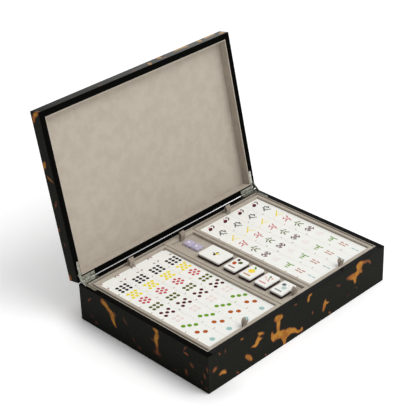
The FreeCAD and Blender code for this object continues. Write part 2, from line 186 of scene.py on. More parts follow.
# amber patches on the shut case, in millimetres: middle along the face and up it, half length, half width,
# lean of the long axis in degrees, and warmth from red-brown at 0 to amber at 1 and above; neighbours run
# together. wander and ragged are how far the edges drift and tear, depth is how far a patch goes in, and
# reach is where its share is gone, in half sizes. a patch adds weight[0] + weight[1] * warmth to the depth
# of colour; the At pairs are where shadow and brown come in with that depth, and amber with warmth
lacquer = {
    "black": rgb(13, 16, 6),
    "rim": rgb(11, 11, 10),
    "shadow": rgb(46, 26, 17),
    "brown": rgb(108, 61, 33),
    "amber": rgb(172, 118, 42),
    "gold": rgb(150, 92, 36),
    # painted sheen: the next two are the black and the amber of the lid's front face as a reflection
    # lightens them
    "paintedSheenOlive": rgb(32, 36, 14),
    "paintedSheenAmber": rgb(178, 132, 56),
    "wander": 2.2,
    "ragged": 0.16,
    "depth": 9.0,
    "reach": 1.75,
    "weight": (0.32, 0.68),
    "shadowAt": (0.14, 0.36),
    "brownAt": (0.26, 0.54),
    "amberAt": (0.3, 0.8),
    "streaks": 0.35,
    "front": [
        (-196.9, 38.4, 7, 4.2, 25, 0.5), (-180.9, 24.4, 9, 4.2, 6, 0.75), (-174.9, 20.9, 4, 3, -40, 0.6),
        (-185.9, 61.9, 4.5, 2.2, -60, 0.35), (-173.4, 59.9, 5, 2, 80, 0.25),
        (-137.4, 63.4, 4.2, 2.6, -5, 0.6), (-122.4, 19.9, 11.5, 4.4, -46, 0.9),
        (-147.9, 6.4, 6, 1.8, -42, 0.4),
        (-109.9, 35.9, 8, 2.8, -5, 0.8), (-102.9, 39.9, 9, 4.2, 65, 1.0), (-94.9, 50.4, 9, 3.0, -28, 0.9),
        (-95.9, 40.9, 6, 2.2, -5, 0.6),
        (-57.2, 59.4, 7.6, 6.4, -5, 1.0), (-47.9, 58.2, 4.2, 4.6, 0, 0.9), (-54.9, 44.9, 13, 4.4, 90, 1.0),
        (-68.4, 30.4, 10, 3.6, 100, 1.0), (-58.9, 26.4, 10, 6.2, -6, 1.0), (-46.4, 23.4, 9, 6.8, -30, 1.0),
        (-31.9, 20.4, 12.5, 7.2, -13, 1.0), (-16.9, 15.6, 8, 4, -38, 0.9), (-7.9, 8.2, 6, 3, -15, 0.8),
        (0.6, 8.6, 4.5, 3.6, 110, 0.9), (-40.4, 5.4, 9, 3, 90, 1.0), (-40.4, 13.4, 6, 4.4, 0, 1.0),
        (-84.4, 4.4, 4.5, 2, -35, 0.3), (-13.9, 63.4, 5, 2.2, -20, 0.3),
        (17.1, 59.4, 6.5, 3.4, 80, 0.9), (22.6, 64.4, 4, 2.2, -15, 0.8), (27.6, 26.4, 5.5, 2, 100, 0.3),
        (57.6, 27.9, 9, 4.4, 80, 1.0), (64.1, 28.4, 4.5, 2.2, -10, 0.9), (55.1, 19.4, 5, 2.8, 70, 0.5),
        (91.1, 48.4, 9, 4, -25, 0.15), (70.6, 4.9, 4.5, 2.6, -40, 0.5), (117.1, 14.9, 6, 4, 0, 0.0),
        (119.1, 48.9, 10, 4.4, -12, 0.45), (131.1, 46.4, 9.5, 5.8, -8, 1.0), (134.1, 37.4, 7, 3.6, 98, 0.9),
        (144.6, 54.9, 10, 6.8, 80, 1.0), (146.1, 62.6, 9, 4.6, -5, 1.0), (162.1, 59.9, 9, 3.4, -15, 0.5),
        (172.1, 53.9, 6, 2.6, -60, 0.35), (149.1, 47.4, 6, 2.8, -40, 0.6), (138.1, 20.9, 7, 2.4, -45, 0.1),
    ],
    "left": [
        (87.1, 60.4, 8, 5.8, 0, 0.8), (76.1, 51.4, 10, 5, 30, 0.85), (67.6, 41.9, 9, 5, 75, 0.9),
        (64.6, 29.9, 9, 3.2, 62, 0.8), (61.1, 48.9, 6, 2.6, 60, 0.3), (37.1, 46.9, 11, 4.4, 55, 0.12),
        (122.1, 48.9, 8, 2.4, -47, 0.35), (119.1, 17.9, 6, 3.6, 30, 0.05), (109.1, 9.9, 7, 4.6, 0, 0.1),
        (19.1, 19.9, 6, 2.8, 60, 0.1), (7.1, 10.9, 8, 4.6, 20, 0.1),
        (-33.9, 63.9, 7.5, 3, 0, 0.8), (-36.4, 54.9, 8, 4.6, 90, 0.8), (-33.4, 44.4, 8, 4.8, 70, 0.7),
        (-34.9, 33.9, 8, 4.2, 90, 0.45), (-35.9, 20.9, 11, 6.4, 0, 0.2), (-24.9, 41.9, 5, 2.2, 30, 0.2),
        (-98.9, 60.9, 7, 2.4, -55, 0.35), (-100.9, 52.4, 6, 2.4, 5, 0.5), (-111.9, 36.9, 7, 4, 50, 0.3),
        (-99.4, 17.9, 7.5, 4.4, 90, 0.25), (-144.9, 44.9, 7, 1.6, 82, 0.4), (-138.9, 29.9, 8, 3.2, 75, 0.25),
        (-131.9, 15.9, 4, 4, 0, 0.1), (-141.9, 8.4, 4, 4, 0, 0.1), (-75.9, 9.4, 5, 1.8, 0, 0.15),
    ],
    "lidFront": [
        (-81, 74, 5, 4, -60, 0.35), (-6, 73, 8, 3, 0, 0.35), (30, 75, 8, 3.4, 60, 1.3),
        (60, 86, 8, 5, 80, 1.2), (65, 75, 5, 3, 20, 0.5), (104, 87, 9, 4, 5, 1.3), (118, 86, 9, 5, -8, 1.5),
        (155, 84, 8, 4, 60, 1.3), (176, 86, 9, 3.6, 15, 1.4), (187, 87, 8, 4, 0, 1.4),
        (203, 77, 7, 6, 70, 1.0),
    ],
    "lidLeft": [
        (-134, 85, 8, 3.6, 30, 0.8), (-143, 77, 9, 4, 62, 0.9), (-57, 85.5, 9, 4, 31, 0.9),
        (-34, 79, 10, 3, -56, 0.6), (9, 79, 10, 3, 30, 0.25), (55, 88, 6, 4, 0, 0.35),
        (80, 81, 6, 4, 0, 0.1), (142, 87.5, 8, 4.5, 0, 0.6), (116, 89.5, 7, 2.5, 0, 0.2),
    ],
}


# share of a patch at a point: an eased step of d from reach to 0, where d = |(p - centre) turned back by
# the lean / half sizes|, so that the patch's own edge is at d = 1
def patchShare(place, patch, face):
    along, up, halfLength, halfWidth, lean = patch[:5]
    if face == "front":
        centre, turn = (along, -case["halfDepth"], up), (0, -lean, 0)
        size = (halfLength, lacquer["depth"], halfWidth)
    else:
        centre, turn = (-case["halfWidth"], along, up), (lean, 0, 0)
        size = (lacquer["depth"], halfLength, halfWidth)
    local = place.node("Mapping", {"vector_type": "TEXTURE"}, {
        "Vector": place, "Location": [value * mm for value in centre],
        "Rotation": [math.radians(value) for value in turn], "Scale": [value * mm for value in size]})
    return local.length().ramp(lacquer["reach"], 0.0)


# tortoiseshell: the sum of the patches' shares, with a wandering place and ragged edges, on the front and
# left faces, and drifts of noise on the others; it stays black where outward is 0, on the rims, and where
# the last argument nears 1 a painted sheen turns its black olive and its amber pale
def tortoiseshell(place, frontPatches, leftPatches, outward, paintedSheen):
    drift = place.noise(85.0, 2.0, out="Color").vector("SUBTRACT", (0.5, 0.5, 0.5))
    wandering = place.vector("ADD", drift.vector("MULTIPLY", (lacquer["wander"] * 2 * mm,) * 3))
    deep = warm = 0.0
    for face, patches in (("front", frontPatches), ("left", leftPatches)):
        for patch in patches:
            share, warmth = patchShare(wandering, patch, face), patch[5]
            deep = share * (lacquer["weight"][0] + lacquer["weight"][1] * warmth) + deep
            warm = share * warmth + warm
    x, y, z = place.parts()
    pastLeft = (x + (case["halfWidth"] - 0.8) * mm).ramp(0, mm)
    elsewhere = pastLeft * (y + (case["halfDepth"] - 0.8) * mm).ramp(0, mm)
    clouds = (wandering.noise(24.0, 2.0, 0.45) * 7.0 - 4.0).highest(0) * elsewhere
    deep = deep + clouds
    warm = warm + clouds * place.noise(12.0, 1.0).ramp(0.35, 0.6)
    torn = (place.noise(160.0, 3.0, 0.6) - 0.5) * lacquer["ragged"]
    deep, warm = (deep + torn) * outward, (warm + torn) * outward
    streaks = wandering.noise(210.0, 3.0, 0.65).ramp(0.52, 0.74) * lacquer["streaks"]
    # painted sheen: towards the right of the lid's front face the black turns olive
    colour = place.mix(outward, lacquer["rim"], place.mix(paintedSheen, lacquer["black"], lacquer["paintedSheenOlive"]))
    colour = place.mix(deep.ramp(*lacquer["shadowAt"]), colour, lacquer["shadow"])
    colour = place.mix(deep.ramp(*lacquer["brownAt"]), colour, lacquer["brown"])
    glow = place.mix(wandering.noise(70.0, 3.0, 0.6).ramp(0.42, 0.62), lacquer["amber"], lacquer["gold"])
    # painted sheen: there the amber turns pale as well
    glow = place.mix(paintedSheen, glow, lacquer["paintedSheenAmber"])
    colour = place.mix(warm.ramp(*lacquer["amberAt"]), colour, glow)
    return place.mix(streaks * outward, colour, lacquer["shadow"])


lacquerSkin = {"Specular IOR Level": 0.0, "Coat Roughness": 0.12}

# clear coat: thin on the left sides, with more on the others and on each rim; on the lid's front face it
# grows to the right, in faint streaks. edge is how far in from the outside it counts as a side
polish = {"left": 0.13, "others": 0.05, "leftRim": 0.06, "rims": 0.7, "rightRim": -0.4, "lidFront": 0.44,
          "streaks": 0.06, "dull": 0.06, "edge": 1.4, "soft": 0.6, "rimWidth": 11.0}


# distance outwards, in metres, from the line that lies edge inside the case's four sides
def pastSides(x, y):
    beyondX = abs(x) - (case["halfWidth"] - polish["edge"]) * mm
    return beyondX.highest(abs(y) - (case["halfDepth"] - polish["edge"]) * mm)


def offLeft(x):
    return (x + (case["halfWidth"] - polish["soft"]) * mm).ramp(0, polish["soft"] * mm)


def lacquerFinish(place, frontPatches, leftPatches, outward, coat, paintedSheen=0.0):
    haze = place.noise(60.0, 3.0, 0.6)
    ripple = place.noise(9.0, 1.0)
    return {
        "Base Color": tortoiseshell(place, frontPatches, leftPatches, outward, paintedSheen),
        "Roughness": 0.3 + haze * 0.1,
        "Coat Weight": coat,
        "Normal": place.bump(ripple, 0.15 * mm, 0.3),
    }


def baseLacquer(start):
    place = objectPlace(start)
    x, y, z = place.parts()
    underRim = z.ramp((case["rim"] - 0.1) * mm, (case["rim"] - 0.4) * mm)
    outward = pastSides(x, y).ramp(0, polish["soft"] * mm) * underRim
    face = polish["left"] + offLeft(x) * polish["others"]
    inside = (case["halfWidth"] - polish["rimWidth"]) * mm
    rim = polish["leftRim"] + (x + inside).ramp(0, mm) * polish["rims"]
    rim = rim + (x - inside + mm).ramp(0, mm) * polish["rightRim"]
    coat = outward * face + (1 - outward) * rim
    return lacquerFinish(place, lacquer["front"], lacquer["left"], outward, coat)


# the open lid's places are first turned back to the shut lid; its rims are dull; its front has painted sheen
def lidLacquer(start):
    angle = math.radians(lidTurn["angle"])
    axis = Vector((0, lidTurn["axisY"], lidTurn["axisZ"]))
    place = start.node("Mapping", {"vector_type": "POINT"}, {
        "Vector": objectPlace(start), "Rotation": (angle, 0, 0),
        "Location": axis - Matrix.Rotation(angle, 3, "X") @ axis})
    x, y, z = place.parts()
    outside = pastSides(x, y).highest(z - (case["height"] - polish["edge"]) * mm)
    overRim = z.ramp((case["rim"] + 0.3) * mm, (case["rim"] + 0.6) * mm)
    outward = outside.ramp(0, polish["soft"] * mm) * overRim
    front = (-(case["halfDepth"] - 0.4) * mm - y).ramp(0, 0.3 * mm)
    # painted sheen on the lid's front face, growing from left to right; it also thickens the coat there
    paintedSheen = front * x.ramp(-260 * mm, 200 * mm)
    streaks = front * place.noise(30.0, 2.0).ramp(0.3, 0.7) * polish["streaks"]
    more = polish["others"] + paintedSheen * polish["lidFront"] + streaks - front * polish["dull"]
    coat = outward * (polish["left"] + offLeft(x) * more)
    return lacquerFinish(place, lacquer["lidFront"], lacquer["lidLeft"], outward, coat, paintedSheen)


# cloths and boards: two colours of the nap and one of the fibres' flecks, the noise scales of the stroked
# patches and of the fibres, and how deep the fibres are in millimetres
suede = {"low": rgb(182, 172, 158), "high": rgb(189, 180, 167), "fleck": rgb(140, 130, 116),
         "patches": 55.0, "fibres": 2200.0, "depth": 0.12}
ribbon = {"low": rgb(150, 138, 125), "high": rgb(164, 152, 139), "fleck": rgb(108, 97, 87),
          "patches": 160.0, "fibres": 2600.0, "depth": 0.1}
felt = {"low": rgb(31, 30, 29), "high": rgb(38, 37, 35), "fleck": rgb(58, 56, 53),
        "patches": 30.0, "fibres": 1400.0, "depth": 0.25}
stainedBoard = {"low": rgb(38, 34, 31), "high": rgb(47, 42, 38), "fleck": rgb(70, 61, 52),
                "patches": 60.0, "fibres": 900.0, "depth": 0.08}
clothSkin = {"Roughness": 0.95, "Specular IOR Level": 0.12, "Sheen Weight": 0.12, "Sheen Roughness": 0.5}


# how a cloth's nap lies: soft patches where it has been stroked, and fibres short of half a millimetre
def napped(cloth):
    def paint(start):
        place = objectPlace(start)
        stroked = place.noise(cloth["patches"], 3.0, 0.55).ramp(0.35, 0.65)
        fibres = place.noise(cloth["fibres"], 3.0, 0.7)
        colour = place.mix(stroked, cloth["low"], cloth["high"])
        colour = place.mix((fibres - 0.5) * 0.9 + 0.18, colour, cloth["fleck"])
        return {"Base Color": colour, "Normal": place.bump(fibres, cloth["depth"] * mm, 0.5)}
    return paint


# dark and light colour of each kind; brushing and clouds are noise scales
plate = {"bright": (rgb(132, 134, 124), rgb(204, 205, 194)),
         "dull": (rgb(104, 106, 98), rgb(150, 152, 142)),
         "brushing": (60.0, 1500.0, 1500.0), "clouds": 420.0}


# nickel plate between two colours, with a faint brushing along X and small darker clouds
def nickel(kind):
    def paint(start):
        place = objectPlace(start)
        brushed = place.vector("MULTIPLY", plate["brushing"]).noise(1.0, 2.0, 0.6)
        clouds = place.noise(plate["clouds"], 3.0, 0.65)
        return {
            "Base Color": place.mix(clouds.ramp(0.36, 0.62), *plate[kind]),
            "Roughness": 0.24 + clouds * 0.2,
            "Normal": place.bump(brushed, 0.01 * mm, 0.4),
        }
    return paint


# colours of a tile's two layers, how fine their wear is, the height of the joint between them for each
# kind of tile in millimetres, and how soft its line is
resin = {"face": (rgb(241, 241, 236), rgb(247, 247, 243)), "back": (rgb(36, 14, 18), rgb(46, 20, 24)),
         "wear": 90.0, "upper": 61.0, "lower": 33.0, "display": 67.5, "soft": 0.06}


# two-layer tile: white face above the joint, dark back below it
def tileResin(layer):
    def paint(start):
        place = objectPlace(start)
        height = place.parts()[2]
        wear = place.noise(resin["wear"], 4.0, 0.6)
        above = height.ramp((resin[layer] - resin["soft"]) * mm, (resin[layer] + resin["soft"]) * mm)
        return {
            "Base Color": place.mix(above, place.mix(wear, *resin["back"]), place.mix(wear, *resin["face"])),
            "Roughness": 0.24 + wear * 0.12,
            "Normal": place.bump(wear, 0.03 * mm, 0.25),
        }
    return paint


# paint in the marks: the colour is kept in the mesh, a little uneven as hand-filled paint is
def paintFilled(start):
    place = objectPlace(start)
    ink = start.node("Attribute", {"attribute_name": "ink"}, out="Color")
    uneven = place.noise(700.0, 3.0, 0.6)
    return {
        "Base Color": ink.mix(uneven * 0.012, ink, (1.0, 1.0, 1.0)),
        "Roughness": 0.3 + uneven * 0.2,
        "Normal": place.bump(uneven, 0.02 * mm, 0.3),
    }


diceColours = {"resin": (rgb(174, 165, 192), rgb(195, 187, 209)), "pip": rgb(246, 245, 240)}


# lavender resin with pips of white paint where the mesh says
def lavender(start):
    place = objectPlace(start)
    pip = start.node("Attribute", {"attribute_name": "pip"}, out="Fac")
    marbled = place.noise(120.0, 4.0, 0.55)
    body = place.mix(marbled, *diceColours["resin"])
    return {
        "Base Color": place.mix(pip.ramp(0.03, 0.16), body, diceColours["pip"]),
        "Roughness": 0.22 + marbled * 0.12,
        "Normal": place.bump(marbled, 0.03 * mm, 0.2),
    }


metalSkin = {"Metallic": 1.0}
tileSkin = {"Specular IOR Level": 0.35}
paintSkin = {"Specular IOR Level": 0.12}
diceSkin = {"Specular IOR Level": 0.4, "Coat Weight": 0.15}
finishes = {
    "baseLacquer": newMaterial("tortoiseshell base", lacquerSkin, baseLacquer),
    "lidLacquer": newMaterial("tortoiseshell lid", lacquerSkin, lidLacquer),
    "suede": newMaterial("suede", clothSkin, napped(suede)),
    "ribbon": newMaterial("suede ribbon", clothSkin, napped(ribbon)),
    "felt": newMaterial("felt", clothSkin, napped(felt)),
    "board": newMaterial("stained board", clothSkin, napped(stainedBoard)),
    "nickel": newMaterial("nickel plate", metalSkin, nickel("bright")),
    "dullNickel": newMaterial("dull nickel plate", metalSkin, nickel("dull")),
    "upperTile": newMaterial("tile resin upper", tileSkin, tileResin("upper")),
    "lowerTile": newMaterial("tile resin lower", tileSkin, tileResin("lower")),
    "displayTile": newMaterial("tile resin display", tileSkin, tileResin("display")),
    "paint": newMaterial("filled paint", paintSkin, paintFilled),
    "dice": newMaterial("lavender resin", diceSkin, lavender),
}

# which finish each kept node takes, by the words its name holds; the first match counts
wornBy = [
    (("tray_pull_tabs",), "ribbon"), (("felt",), "felt"), (("bottom_panel",), "board"),
    (("stay_link", "stay_slider"), "dullNickel"), (("hinge", "stay"), "nickel"),
    (("lining", "liner", "tray", "insert"), "suede"),
    (("lower_left_tiles", "lower_right_tiles"), "lowerTile"), (("lid_",), "lidLacquer"),
    (("base_",), "baseLacquer"),
]
for name, node in nodes.items():
    matches = [finish for words, finish in wornBy if any(word in name for word in words)]
    if matches:
        node.data.materials.clear()
        node.data.materials.append(finishes[matches[0]])
print("finishes:", len(finishes))


# a piece from points in millimetres; it rides on its body, takes a slot's finish and stands for nodes
def addPiece(name, points, faces, finish, body, standsFor=(), attributes=None):
    mesh = bpy.data.meshes.new(name)
    mesh.from_pydata((np.asarray(points) * mm).tolist(), [], [list(face) for face in faces])
    mesh.polygons.foreach_set("use_smooth", [True] * len(mesh.polygons))
    for key, (kind, field, values) in (attributes or {}).items():
        mesh.attributes.new(key, kind, "POINT").data.foreach_set(field, np.ravel(values).astype(np.float32))
    mesh.materials.append(finishes[finish])
    piece = bpy.data.objects.new(name, mesh)
    bpy.context.scene.collection.objects.link(piece)
    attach(piece, body)
    if standsFor:
        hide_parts(*standsFor)


# quads between rings of points: ring r, place k joins (r, k), (r, k + 1), (r + 1, k + 1), (r + 1, k)
def ringFaces(rings, around, closed=True):
    places = around if closed else around - 1
    ring, place = np.meshgrid(np.arange(rings - 1), np.arange(places), indexing="ij")
    after = (place + 1) % around
    quads = (ring * around + place, ring * around + after, (ring + 1) * around + after,
             (ring + 1) * around + place)
    return np.stack(quads, -1).reshape(-1, 4)


# block with round upright corners of three points each: its outline, corner centre + direction * (radius -
# inset), is carried up a profile of (inset, height) rings and closed by a flat face at each end
def roundedBlock(halfX, halfY, radius, profile):
    turns = (np.arange(4)[:, None] + np.linspace(0, 1, 3)).ravel() * np.pi / 2
    directions = np.stack((np.cos(turns), np.sin(turns)), -1)
    signs = np.repeat([[1, 1], [-1, 1], [-1, -1], [1, -1]], 3, axis=0)
    inset, height = np.array(profile, float).T
    plan = signs * (np.array([halfX, halfY]) - radius) + directions * (radius - inset)[:, None, None]
    points = np.concatenate((plan, np.broadcast_to(height[:, None, None], plan.shape[:2] + (1,))), -1)
    around, rings = len(turns), len(inset)
    sides = ringFaces(rings, around).tolist()
    caps = [list(range(around))[::-1], list(range(around * (rings - 1), around * rings))]
    return points.reshape(-1, 3), sides + caps


# the same shape at many places, as one mesh
def copies(points, faces, places):
    moved = (np.asarray(places, float)[:, None] + points).reshape(-1, 3)
    return moved, [[corner + step * len(points) for corner in face]
                   for step in range(len(places)) for face in faces]


# sizes in millimetres; showCorner is the corner radius of the display tiles
tile = {"length": 36.6, "width": 25.0, "thickness": 20.4, "gap": 0.3, "corner": 0.8, "showCorner": 2.2,
        "edge": 0.45, "flat": 0.15, "grow": 0.12, "columns": 4, "rows": 10}


# edges softened by a small bevel, with a flat ring beside it that keeps the top's shading flat; a tile
# grows a little all round, so that the gaps between neighbours are hairlines
def tileShape(width, corner):
    edge, soft, grow, top = tile["edge"], tile["edge"] * 0.3, tile["grow"], tile["thickness"]
    profile = [(soft, 0), (0, soft), (0, top - edge), (soft, top - soft), (edge, top),
               (edge + tile["flat"], top)]
    return roundedBlock(tile["length"] / 2 + grow, width / 2 + grow, corner, profile)


# centres of the tiles of a block, front row first, then the next row behind
def tileCentres(node):
    low, high = (np.array(corner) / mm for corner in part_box(node))
    column, row = np.meshgrid(np.arange(tile["columns"]), np.arange(tile["rows"]))
    x = low[0] + tile["length"] / 2 + column * (tile["length"] + tile["gap"])
    y = low[1] + tile["width"] / 2 + row * (tile["width"] + tile["gap"])
    return np.stack((x, y, np.full(x.shape, low[2])), -1)


for side in ("left", "right"):
    body, node = "upper_" + side + "_tray", "upper_" + side + "_tiles"
    shape, sides = copies(*tileShape(tile["width"], tile["corner"]), tileCentres(node).reshape(-1, 3))
    addPiece(side + "TrayTiles", shape, sides, "upperTile", body, [node])

# the display tiles' nodes and the bodies that carry them
displayNodes = {"large_display_tile": "large_tile"}
for number in range(1, 5):
    displayNodes["display_tile_" + str(number)] = "display_tile_" + str(number)


def middleOf(node):
    low, high = (np.array(corner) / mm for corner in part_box(node))
    return (low + high) / 2, high - low


for node, body in displayNodes.items():
    middle, size = middleOf(node)
    shape, sides = tileShape(size[1], tile["showCorner"])
    shape = shape + middle - (0, 0, size[2] / 2)
    addPiece(body + "Block", shape, sides, "displayTile", body, [node])
print("tiles:", 2 * tile["columns"] * tile["rows"], "in the trays,", len(displayNodes), "on show")


# outline of a mark: x = length / 2 * cos^p, y = width / 2 * sin^q with their signs kept; p = q = 1 is an
# oval, below 1 it is squarer, above 1 pointed
def oval(length, width, p=1.0, q=1.0, around=18):
    turn = np.arange(around) / around * 2 * np.pi
    across, up = np.cos(turn), np.sin(turn)
    x, y = np.sign(across) * np.abs(across) ** p, np.sign(up) * np.abs(up) ** q
    return np.stack((x * length / 2, y * width / 2), -1)


# a mark is its outline, centre, turn in degrees and colour; this one is a round dot
def disc(width, centre, colour):
    return oval(width, width), centre, 0.0, colour


# oval with pointed ends
def leaf(length, width, centre, turn, colour):
    return oval(length, width, 1.0, 1.6), centre, turn, colour


# bar with blunt ends
def stick(length, centre, turn, colour, width=2.3):
    return oval(length, width, 0.55, 0.8), centre, turn, colour


# petals round a centre: petal k lies at k / count of a turn, its middle the given reach out
def rosette(count, reach, length, width, centre, colour):
    turns = np.arange(count) * 360.0 / count
    way = np.radians(turns)
    middles = np.array(centre) + reach * np.stack((np.cos(way), np.sin(way)), -1)
    return [leaf(length, width, tuple(middle), turn, colour) for middle, turn in zip(middles, turns)]


# places in rows: counts per row from the front, a spacing along a row and a step from row to row
def rowsOf(counts, spacing, rowStep):
    places = []
    for row, count in enumerate(counts):
        y = (row - (len(counts) - 1) / 2) * rowStep
        places += [((place - (count - 1) / 2) * spacing, y) for place in range(count)]
    return places


# a mark stands lift above the tile and is dome high; its shoulder is a ring at these shares of its width
# and height, and numerals lie at numeralHeight of the dome
marks = {"lift": 0.03, "dome": 0.05, "shoulder": (0.6, 0.8), "stickLength": 7.4,
         "numeral": 4.8, "numeralBold": 0.14, "numeralAt": (-15.4, -7.6), "numeralTurn": 90.0,
         "numeralHeight": 0.6}


# numerals as flat meshes, read once each and then placed as arrays
def numeralShape(text):
    curve = bpy.data.curves.new("numeral", "FONT")
    curve.body, curve.size, curve.resolution_u = text, marks["numeral"], 1
    curve.align_x, curve.align_y, curve.offset = "CENTER", "CENTER", marks["numeralBold"]
    holder = bpy.data.objects.new("numeral", curve)
    bpy.context.scene.collection.objects.link(holder)
    mesh = holder.evaluated_get(bpy.context.evaluated_depsgraph_get()).to_mesh()
    points = np.zeros(len(mesh.vertices) * 3)
    mesh.vertices.foreach_get("co", points)
    points = points.reshape(-1, 3)[:, :2]
    faces = [list(face.vertices) for face in mesh.polygons]
    bpy.data.objects.remove(holder)
    return points - (points.max(0) + points.min(0)) / 2, faces


# a turn in degrees about the tile's normal, for points as rows
def spun(points, turn):
    way = math.radians(turn)
    return points @ np.array([[math.cos(way), math.sin(way)], [-math.sin(way), math.cos(way)]])


# gathers marks and numerals into one painted piece; each mark is a fan whose middle is raised a little
def addMarks(name, body, top, marked, numerals=()):
    points, faces, colours, used = [], [], [], 0
    top += marks["lift"]
    innerShare, innerHeight = marks["shoulder"]
    for outline, centre, turn, colour in marked:
        edge = spun(outline, turn) + centre
        inner = (edge - centre) * innerShare + centre
        rings = np.concatenate((edge, inner, [centre]))
        count = len(edge)
        height = np.repeat([0, innerHeight, 1.0], [count, count, 1]) * marks["dome"]
        points.append(np.column_stack((rings, top + height)))
        fan = [[count + place, count + (place + 1) % count, 2 * count] for place in range(count)]
        faces += [[used + corner for corner in face] for face in ringFaces(2, count).tolist() + fan]
        colours.append(np.tile((*colour, 1.0), (len(rings), 1)))
        used += len(rings)
    for (shape, sides), centre, colour in numerals:
        flat = spun(shape, marks["numeralTurn"]) + centre
        height = np.full(len(flat), marks["dome"] * marks["numeralHeight"])
        points.append(np.column_stack((flat, top + height)))
        faces += [[used + corner for corner in face] for face in sides]
        colours.append(np.tile((*colour, 1.0), (len(flat), 1)))
        used += len(flat)
    addPiece(name, np.concatenate(points), faces, "paint", body,
             attributes={"ink": ("FLOAT_COLOR", "color", np.concatenate(colours))})


# colours of the marks that are used more than once or stand for a row
teal, orange, green, blush = rgb(160, 196, 194), rgb(178, 86, 18), rgb(106, 158, 12), rgb(238, 224, 220)
maroon, olive, red, yellow = rgb(84, 8, 20), rgb(88, 94, 4), rgb(198, 76, 80), rgb(239, 219, 18)
navy, rose, stone = rgb(8, 10, 18), rgb(166, 116, 108), rgb(136, 126, 112)
paleYellow, coal = rgb(246, 228, 140), rgb(34, 38, 44)

# the rows of the left tray from the front: colour, width of a dot, middle of the group, places of the dots
dotRows = [
    (teal, 9.0, (-0.3, 0.3), [(0, 0)]),
    (orange, 8.2, (1.6, 0.5), [(-4.9, 4.0), (4.9, -4.0)]),
    (green, 7.6, (1.5, 0.6), [(-8.3, 5.6), (0, 0), (8.3, -5.6)]),
    (blush, 7.0, (2.6, 2.1), rowsOf((2, 2), 8.7, 9.2)),
    (maroon, 6.6, (2.5, 1.0), rowsOf((2, 1, 2), 15.5, 5.6)),
    (olive, 6.3, (2.5, 1.0), rowsOf((3, 3), 7.9, 8.4)),
    (red, 5.7, (2.0, 1.0), [(0, 0), (0, 8.0), (0, -8.0)] + rowsOf((2, 2), 12.8, 8.0)),
    (yellow, 6.1, (2.5, 1.0), rowsOf((3, 2, 3), 8.0, 6.6)),
    (navy, 6.1, (2.9, 1.1), rowsOf((3, 3, 3), 8.6, 7.2)),
]

# the rows of the right tray: colour, middle of the group, sticks as (x, y, turn in degrees), with a colour
# where a stick has its own
stickRows = [
    (rgb(148, 184, 186), (1.4, 1.6), [(0, -4.2, 90), (0, 4.2, 90)]),
    (rgb(176, 92, 20), (1.9, 1.5), [(-3.2, -3.4, 90), (-3.2, 4.4, 90), (2.4, -4.8, 90), (2.4, 4.6, 90)]),
    (rgb(104, 154, 8), (1.7, 1.2), [(-6.2, 0, 90), (-1.4, 0.4, 90), (4.4, 4.6, 75), (4.4, -4.6, 105),
                                    (2.0, 0, 0)]),
    (rgb(238, 222, 218), (1.2, 1.4), [(-4.0, 0, 90), (0, 0, 90), (4.0, 0, 90), (0, 6.4, 0)]),
    (rgb(84, 6, 18), (1.7, 1.2), [(-5.5, 3.8, 40), (-5.5, -3.8, -40), (0, 0, 90), (5.5, 3.8, -40),
                                  (5.5, -3.8, 40), (-3.2, 0, 90), (3.2, 0, 90)]),
    (rgb(92, 106, 14), (1.4, 1.2), [(0, 5.6, 90), (-5.4, 1.6, 30), (5.2, 3.8, -25), (-4.0, -4.8, 70),
                                    (4.0, -5.0, -50), (0, -1.2, 0)]),
    (rgb(200, 100, 104), (1.4, 1.6), [(-6.6, -2.8, 20), (-2.0, 0, 90), (2.8, -0.8, -60), (5.2, 5.0, 60),
                                      (-3.2, 5.8, 30), (0.8, -6.2, 90)]),
    (rgb(238, 212, 16), (1.6, 0.6), [(-5.0, -2.8, 35), (0, 1.2, 40), (5.0, 5.4, 40),
                                     (1.4, -4.0, -40, paleYellow), (5.4, -6.4, -40, paleYellow)]),
    (rgb(94, 102, 100), (1.6, 1.2), [(-6.0, -1.4, 35), (-1.6, -1.8, 90), (-2.6, 3.0, 30), (2.6, -5.0, -40),
                                     (5.2, 4.8, 90, coal), (7.2, 1.0, 60, coal), (1.2, 6.6, 0)]),
]
numeralShapes = [numeralShape(str(number)) for number in range(1, 10)]


def shifted(place, centre):
    return place[0] + centre[0], place[1] + centre[1]


# four short strokes near the corners, for the back row of the left tray
def cornerMarks(centre):
    found = []
    for x, y, turn in ((-15.0, -6.5, 30), (12.8, -6.5, -30), (-15.0, 10.4, -30), (15.2, 10.4, 30)):
        found.append(stick(4.6, shifted((x, y), centre), turn, rose if x < 0 else stone, 2.8))
    return found


# a bud over a curled stem for the back row of the right tray
def budMarks(centre):
    bud = (oval(11.6, 6.8, 1.0, 1.2), shifted((-3.8, -0.6), centre), 34, rgb(82, 12, 26))
    stem = [stick(5.4, shifted(place, centre), turn, rgb(96, 34, 46))
            for place, turn in (((4.4, -0.4), 50), ((7.4, 3.2), 80), ((5.6, 6.6), 10))]
    return [bud, leaf(6.0, 3.4, shifted((-1.8, 5.4), centre), 60, rgb(232, 176, 178))] + stem


# the marks of a side tray: build makes those of a row's tiles, and lastRow those of the back row; tiles
# have their number from the second row on, and the count of marks is returned
def addTrayMarks(side, rows, build, lastRow):
    node = "upper_" + side + "_tiles"
    centres = tileCentres(node)[:, :, :2]
    marked, numerals = [], []
    for row, settings in enumerate(rows):
        for centre in centres[row]:
            marked += build(centre, *settings)
            if row:
                numerals.append((numeralShapes[row], shifted(marks["numeralAt"], centre), settings[0]))
    for centre in centres[-1]:
        marked += lastRow(centre)
    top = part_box(node)[1].z / mm
    addMarks(side + "TrayMarks", "upper_" + side + "_tray", top, marked, numerals)
    return len(marked)


def dots(centre, colour, width, middle, places):
    return [disc(width, shifted(shifted(place, middle), centre), colour) for place in places]


